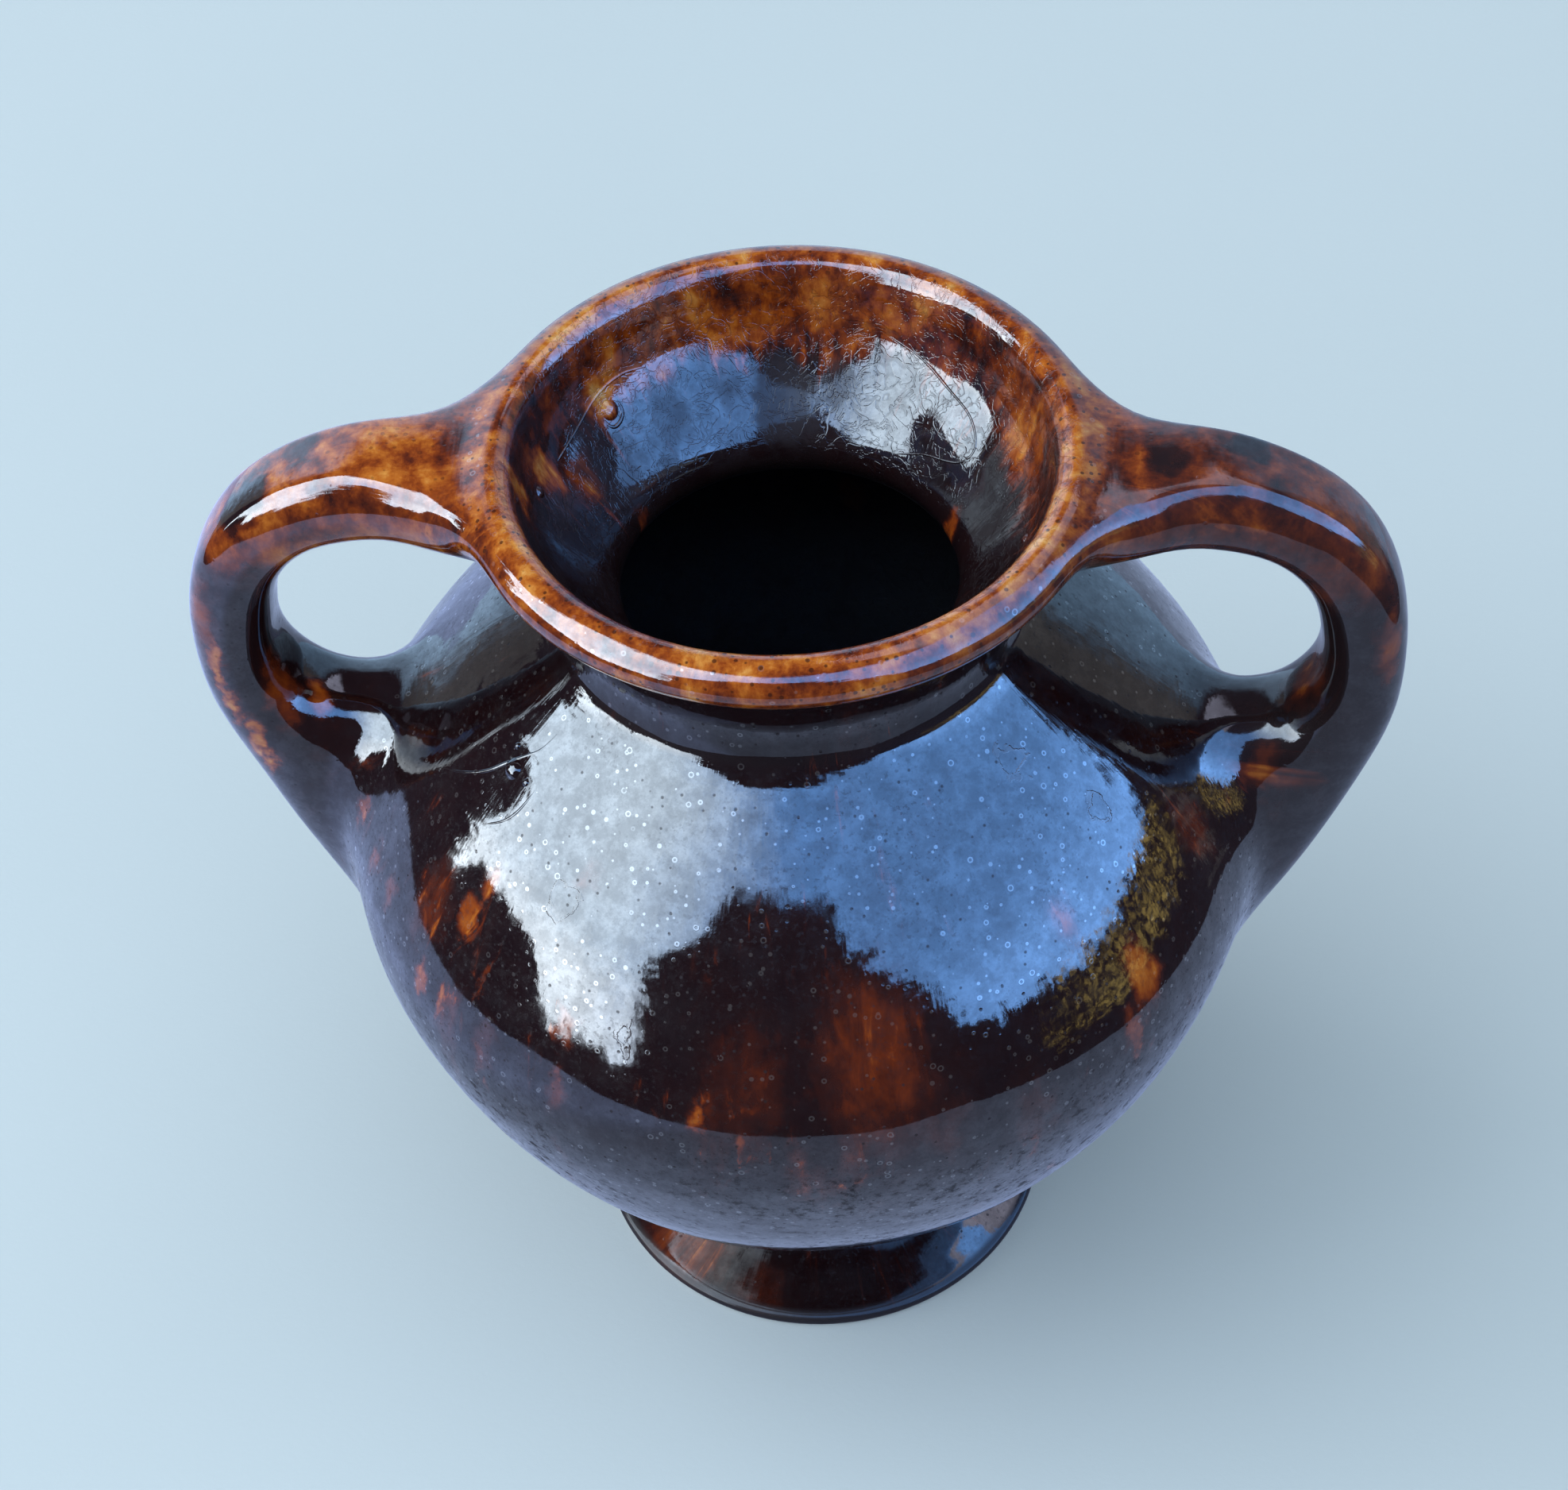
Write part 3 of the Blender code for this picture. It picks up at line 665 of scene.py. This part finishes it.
def strongest(marks, core):
    # the strongest of a list of placed marks; each is full inside this share of its size
    amount = 0
    for spot, size, strength in marks:
        amount = largest(rise(distanceTo(spot), size, size * core) * strength, amount)
    return amount


patch = strongest(glazing["spots"], 0.2)
pool = strongest(glazing["pools"], 0.5)
haze = strongest(glazing["hazes"], 0.6)
scar = 0
for spot, size in glazing["blisters"]:
    scar = largest(rise(abs(distanceTo(spot) - size), 0.32, 0.1), scar)
clusters = rise(patches, 0.42, 0.6)
belly = rise(z, 106.0, 96.0) * (1 - inner) * rise(z, 6.0, 12.0)
run = (patch * (0.4 + 1.5 * runs)
       + rise(runs, 0.56, 0.72) * clusters * 0.34 * onBody
       + rise(streaks, 0.48, 0.74) * (clusters * 0.16 + belly * 0.12) * onBody)
tone = (thin * 0.68 + spread * (0.14 + 0.86 * thin) + run + 0.08
        + (patches - 0.5) * (0.9 * inner + 0.9 * onHandle) * thin + onHandle * 0.09)
tone = tone * (1 - pool)
colour = tone.node("ShaderNodeValToRGB", {"stops": glazing["body"]}, {"Fac": tone}, out="Color")


def scattered(perMetre):
    # distance to the nearest of many scattered points, and two random numbers for that point
    gap, shade = brush.node("ShaderNodeTexVoronoi", {"feature": "F1"}, {
        "Vector": place, "Scale": perMetre, "Randomness": 1.0}, out=("Distance", "Color"))
    chance = gap.node("ShaderNodeSeparateColor", {}, {"Color": shade}, out=("Red", "Green"))
    return gap, chance


gap, chance = scattered(glazing["dotsPerMetre"])
dots = (rise(gap - chance[1] * 0.12, 0.24, 0.12) * rise(chance[0], 0.4, 0.42)
        * largest(crown, lip) * 0.8)
colour = blend(dots, colour, tint(0.05, 0.012, 0.004))

# tiny bubbles under the glaze show as pale rings, burst ones as brown specks
gap, chance = scattered(glazing["bubblesPerMetre"])
ringSize = 0.03 + chance[1] * chance[1] * 0.24
bubbleRing = rise(abs(gap - ringSize), 0.1, 0.03) * rise(chance[0], 0.4, 0.42)
specks = rise(gap, 0.24, 0.08) * rise(chance[0], 0.3, 0.28)
bubbles = bubbleRing * (1 - inner) * (1 - onHandle) * rise(z, 60.0, 90.0)
grit = rise(cloud(place, 1300, 3, 0.6), 0.55, 0.65) * (0.3 + 0.7 * rise(patches, 0.35, 0.6))
scum = rise(cloud(place, 420, 4, 0.7), 0.5, 0.7) * (0.4 + 0.6 * rise(patches, 0.35, 0.6))
colour = blend(bubbles * 0.05, colour, tint(0.75, 0.8, 0.85))
colour = blend(scar * 0.4, colour, tint(0.06, 0.045, 0.04))
neckRing = rise(abs(z - glazing["neckRing"]), 3.2, 1.2) * (1 - inner) * (1 - onHandle)
rimWear = rise(radius, 38.6, 40.2) * rise(z, 4.4, 3.4) * 0.85
# the right of the mouth is the clearer side
murk = inner * (0.3 - 0.24 * rise(x, 2.0, 12.0))
veil = (rise(cloud(place, 170, 5, 0.7), 0.42, 0.66) * (0.14 * (1 - inner) + murk)
        + rise(cloud(place, 95, 3, 0.6), 0.48, 0.58) * murk + inner * 0.1)

# how much of the gloss is lost, and where
dusty = largest(largest(scum * (0.22 + belly * 0.7) + veil, grit * 0.4),
                largest(specks * 0.75, rimWear))
dusty = dusty * onBody * (1 - onHandle * 0.5)
# fine scratches and crazing, only on the wall of the mouth
scratches = largest(rise(abs(cloud(place, 150, 2, 0.5, 1.2) - 0.5), 0.020, 0.004),
                    rise(abs(cloud(place, 310, 3, 0.6, 0.8) - 0.5), 0.030, 0.006))
scratches = scratches * rise(patches, 0.36, 0.5)
dusty = largest(largest(dusty * (1 - inner * 0.15), scratches * inner * 0.36), haze)
dusty = largest(dusty, neckRing * 0.35)
dusty = largest(dusty, largest(onHandle * rise(x, 44.0, 56.0) * 0.35,
                               lip * largest(rise(x, 5.0, 35.0), rise(y, 5.0, 25.0)) * 0.4))

bare = rise(z + (grain - 0.5) * 0.5, 0.75, 0.55)
colour = blend(bare, colour, tint(*glazing["clay"]))

film = rise(patches, 0.42, 0.6) * rise(mottle, 0.35, 0.65) * onBody
# deep inside the pot, below the neck: painted shade, the colour drawn almost black, and the glaze made
# rougher there
deepShade = inner * rise(z, 154.0, 147.0)
rough = (glazing["gloss"] + film * 0.03 + scum * 0.04
         + rise(z, 104.0, 70.0) * 0.025 * (1 - inner) + bare * 0.7 + deepShade * 0.5)
colour = blend(deepShade * 0.9, colour, tint(0.002, 0.001, 0.0015))

waves = cloud(place, 38, 2, 0.5) * 0.00014 + cloud(place, 120, 2, 0.5) * 0.00005
relief = (waves * (1 + inner) + streaks * 0.00006 * onBody + bubbles * 0.000004 - specks * 0.00001
          + scar * 0.00003 + grain * 0.000002 + mottle * 0.000012
          - scratches * 0.00002 * inner)
bumps = brush.node("ShaderNodeBump", {}, {"Height": relief, "Distance": 1.0, "Strength": 1.0})
shine = largest(bubbles, rise(cloud(place, 260, 6, 0.78), 0.40, 0.66) * 0.34)

coat = brush.node("ShaderNodeBsdfPrincipled", {}, {
    "Base Color": colour, "Roughness": rough, "Coat Weight": shine, "Coat IOR": 1.7,
    "Coat Roughness": 0.02, "Normal": bumps, "IOR": glazing["glassiness"]})
dull = brush.node("ShaderNodeBsdfPrincipled", {}, {
    "Base Color": blend(bare, tint(0.014, 0.010, 0.011), colour), "Roughness": 0.5,
    "Specular IOR Level": 0.12, "Normal": bumps})
skin = brush.node("ShaderNodeMixShader", {}, {0: dusty * (1 - bare), 1: coat, 2: dull})
brush.node("ShaderNodeOutputMaterial", {}, {"Surface": skin})
vase.data.materials.append(glaze)
print("glaze mixed:", len(glaze.node_tree.nodes), "nodes")

# the camera stands where the photograph was taken from

camera = {
    "lens": 70.47, "distance": 0.51362, "above": 50.937, "round": 5.5,
    "pan": 0.295, "tilt": 1.705, "roll": 3.276, "middle": 0.0907,
}
above, around = math.radians(camera["above"]), math.radians(camera["round"])
aim = (Matrix.Rotation(around, 4, "Z") @ Matrix.Rotation(math.pi / 2 - above, 4, "X")
       @ Matrix.Rotation(math.radians(camera["pan"]), 4, "Y")
       @ Matrix.Rotation(math.radians(camera["tilt"]), 4, "X")
       @ Matrix.Rotation(-math.radians(camera["roll"]), 4, "Z"))
back = camera["distance"] * math.cos(above)
eye = Vector((back * math.sin(around), -back * math.cos(around),
              camera["middle"] + camera["distance"] * math.sin(above)))
nothingPicked()
bpy.ops.object.camera_add()
seer = bpy.context.object
seer.name = "photo_camera"
seer.matrix_world = Matrix.Translation(eye) @ aim
seer.data.lens = camera["lens"]
seer.data.sensor_width = 36
bpy.context.scene.camera = seer

# a pale floor, and a table top let into it that alone shows in the glaze; the table top glows, so what the
# glaze shows of it is painted light, a painted reflection of a lit table

ground = {
    "reach": 6.0,
    "tableLow": (-0.55, -0.45), "tableHigh": (0.31, 0.45),
    "paint": (0.56, 0.70, 0.81),
    # colour of the table top's glow: painted light that shows in the glaze as a painted reflection
    "sheen": (0.17, 0.23, 0.45),
}
paper, brush = newFinish("pale_floor_paint")
place = brush.node("ShaderNodeTexCoord", out="Object")
drift = cloud(place, 3.0, 3, 0.5)
tooth = cloud(place, 900, 3, 0.6)
colour = blend(rise(drift, 0.3, 0.7), tint(*ground["paint"]),
               tint(*[part * 1.03 for part in ground["paint"]]))
bumps = brush.node("ShaderNodeBump", {}, {"Height": tooth * 0.00004, "Distance": 1.0})
top = brush.node("ShaderNodeBsdfPrincipled", {}, {
    "Base Color": colour, "Roughness": 0.8, "Specular IOR Level": 0.0, "Normal": bumps})
brush.node("ShaderNodeOutputMaterial", {}, {"Surface": top})

# the table top's finish: lit by the lamps, and also glowing as painted light
glowPaint, brush = newFinish("glowing_table_paint")
place = brush.node("ShaderNodeTexCoord", out="Object")
colour = blend(cloud(place, 6.0, 3, 0.5), tint(*ground["paint"]), tint(0.66, 0.76, 0.9))
across = place.node("ShaderNodeSeparateXYZ", {}, {"Vector": place}, out="X")
# painted light: how strongly the table top glows, patchy, and much brighter to the left
lit = cloud(place, 5.0, 4, 0.6) * 0.3 + 0.85 + rise(across, -0.10, -0.22) * 2.0
top = brush.node("ShaderNodeBsdfPrincipled", {}, {
    "Base Color": colour, "Roughness": 0.8, "Specular IOR Level": 0.0,
    "Emission Color": blend(lit * 0.4, tint(0, 0, 0),
                            tint(*[part * 2.5 for part in ground["sheen"]])),
    "Emission Strength": 1.0})
brush.node("ShaderNodeOutputMaterial", {}, {"Surface": top})


def stagePlane(name, low, high, height, finish):
    nothingPicked()
    bpy.ops.mesh.primitive_plane_add(size=1)
    sheet = bpy.context.object
    sheet.name = sheet.data.name = name
    bpy.ops.object.mode_set(mode="EDIT")
    bpy.ops.transform.resize(value=(high[0] - low[0], high[1] - low[1], 1))
    bpy.ops.transform.translate(value=((low[0] + high[0]) / 2, (low[1] + high[1]) / 2, height))
    bpy.ops.object.mode_set(mode="OBJECT")
    sheet.data.materials.append(finish)
    return sheet


reach = ground["reach"] / 2
floor = stagePlane("floor", (-reach, -reach), (reach, reach), 0.0, paper)
floor.visible_glossy = False
floor.visible_shadow = False
tableTop = stagePlane("table_top", ground["tableLow"], ground["tableHigh"], -0.0002, glowPaint)
tableTop.visible_camera = False
tableTop.visible_diffuse = False

# soft light: two big lamps for floor and clay, and a hazy surround that shines in the glaze

lamps = {
    "key": {"place": (-1.9, -0.1, 1.7), "size": 2.4, "power": 38, "color": (1.0, 0.95, 0.90)},
    "fill": {"place": (0.0, -0.7, 2.4), "size": 5.0, "power": 110, "color": (0.93, 0.98, 1.0)},
}
for name, lamp in lamps.items():
    nothingPicked()
    bpy.ops.object.light_add(type="AREA", location=lamp["place"])
    light = bpy.context.object
    light.name = name + "_light"
    light.rotation_euler = Vector(lamp["place"]).to_track_quat("Z", "Y").to_euler()
    light.data.energy = lamp["power"]
    light.data.size = lamp["size"]
    light.data.color = lamp["color"]
    light.visible_glossy = False

surround = {
    "sides": (-92, 99),    # where the bright front sky begins and ends, in degrees from -Y
    "foot": 0,
    # a dark screen parts the white from the blue; its right side leans
    "screen": {"left": -36, "right": 40, "lean": 26, "top": 42},
    "left": (8.0, 9.8, 11.6), "leftLow": (11.5, 13.0, 14.4),
    "right": (1.15, 2.8, 6.4), "rightLow": (2.0, 4.6, 10.2),
    "backWall": (1.0, 1.5, 2.15), "backWallRight": (0.45, 0.75, 1.15),
    "ground": (0.33, 0.33, 0.35), "trees": (0.07, 0.06, 0.09), "leaves": (2.2, 1.6, 0.5),
    "topRight": (1.9, 1.95, 2.6),
    "backdrop": (0.70, 0.78, 0.85),
}
world = bpy.data.worlds.new("studio")
bpy.context.scene.world = world
world.use_nodes = True
world.node_tree.nodes.clear()
world.cycles_visibility.diffuse = False
brush = Wire(world.node_tree)
facing = brush.node("ShaderNodeTexCoord", out="Generated")
east, north, up = facing.node("ShaderNodeSeparateXYZ", {}, {"Vector": facing}, out=("X", "Y", "Z"))
ragged = cloud(facing, 5.0, 6, 0.65) - 0.5
jagged = cloud(facing, 24.0, 6, 0.72) - 0.5
plainBearing = east.sum("ARCTAN2", east, 0 - north) * (180 / math.pi)
bearing = plainBearing + ragged * 9 + jagged * 20
level = up.sum("ARCSINE", up) * (180 / math.pi) + ragged * 8 + jagged * 15
clouds = 0.90 + 0.20 * cloud(facing, 2.2, 4, 0.55)
start, end = surround["sides"]
skyline = (surround["foot"] + rise(plainBearing, -40, -8) * 9 - rise(plainBearing, 30, 80) * 7
           + rise(plainBearing, -91, -84) * rise(plainBearing, -56, -68) * 9)
notch = rise(level, 19, 24) * rise(level, 36, 30) * 10
frontSky = (rise(bearing + notch, start - 1, start + 1)
            * rise(bearing - rise(level, 2, 16) * 6, end + 1.5, end - 1.5)
            * rise(level - skyline, -0.6, 0.6))
screen = surround["screen"]
leaning = screen["right"] - rise(level, 4, screen["top"]) * screen["lean"]
drawnIn = rise(level, 24, screen["top"]) * 18
parted = (rise(bearing - drawnIn, screen["left"] - 1, screen["left"] + 1)
          * rise(bearing - leaning, 1, -1)
          * rise(level, screen["top"] + 1.5, screen["top"] - 1.5))
gapAbove = largest(rise(level, 57, 62), parted)
low = rise(level, 24, 6)
leftSky = blend(low, tint(*surround["left"]), tint(*surround["leftLow"]))
rightSky = blend(rise(level, 32, 8) * rise(bearing, 20, 60), tint(*surround["right"]),
                 tint(*surround["rightLow"]))
sky = blend(rise(bearing, -62, 6), leftSky, rightSky)
back = rise(abs(bearing), 124, 136)
wall = blend(rise(east, -0.5, 0.5), tint(*surround["backWall"]),
             tint(*surround["backWallRight"]))
seen = blend(back * rise(level, 42, 30), tint(*surround["trees"]), wall)
seen = blend(rise(abs(bearing + 5), 112, 114) * (1 - back) * rise(level, -20, -17)
             * rise(level, 35, 31), seen, tint(*surround["ground"]))
seen = blend(rise(level, 42, 46) * rise(level, 84, 78) * rise(bearing, 62, 74)
             * rise(bearing, 168, 156), seen, tint(*surround["topRight"]))
seen = blend(frontSky * (1 - gapAbove), seen, sky)
foliage = rise(cloud(facing, 55.0, 4, 0.7) - 0.5 + ragged * 0.3, -0.02, 0.12)
seen = blend(foliage * rise(bearing, 54, 62) * rise(bearing, 106, 102) * rise(level, -11, -8)
             * rise(level - skyline, 4, 1), seen, tint(*surround["leaves"]))
fromEye = brush.node("ShaderNodeLightPath", out="Is Camera Ray")
seen = blend(fromEye, seen, tint(*surround["backdrop"]))
glow = brush.node("ShaderNodeBackground", {}, {
    "Color": seen, "Strength": clouds * (1 - fromEye) + fromEye})
brush.node("ShaderNodeOutputWorld", {}, {"Surface": glow})
bpy.context.scene.view_settings.view_transform = "Standard"
print("studio lit")
